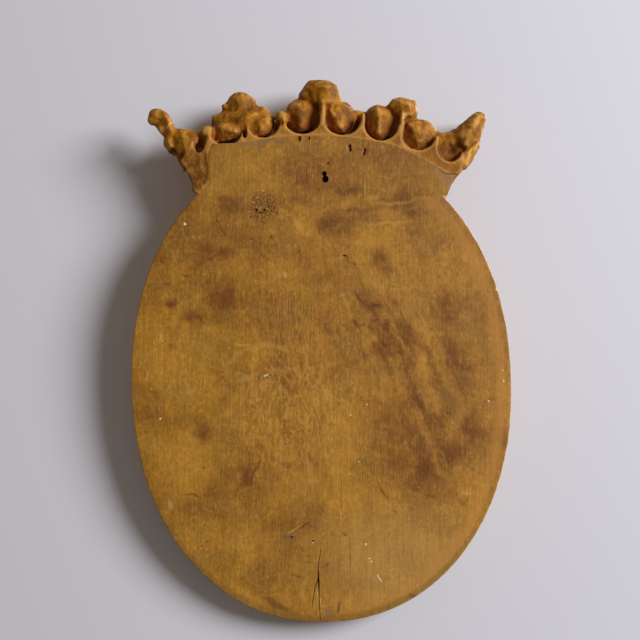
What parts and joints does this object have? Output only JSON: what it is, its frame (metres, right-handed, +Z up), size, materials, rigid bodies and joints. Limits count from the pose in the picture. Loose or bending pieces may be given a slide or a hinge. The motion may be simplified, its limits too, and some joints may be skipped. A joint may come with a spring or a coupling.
{
  "type": "carved coat of arms",
  "caption": "Carved wooden wall arms: an oval shield board with a raised rim and a bend between stars, topped by an arched coronet of curled leaves and pearls, flat at the back.",
  "frame": {"origin": "middle of the oval board, on its flat back, which rests against the wall", "axes": "+Z up through the coronet, +Y out of the flat back towards the wall, relief facing -Y"},
  "size_m": [0.4798, 0.0712, 0.693],
  "materials": {
    "board_wood": "worn ochre paint, satin",
    "coronet_wood": "worn ochre paint, half gloss"
  },
  "bodies": {
    "root": {"oval_board": "board_wood", "coronet": "coronet_wood"}
  },
  "joints": []
}
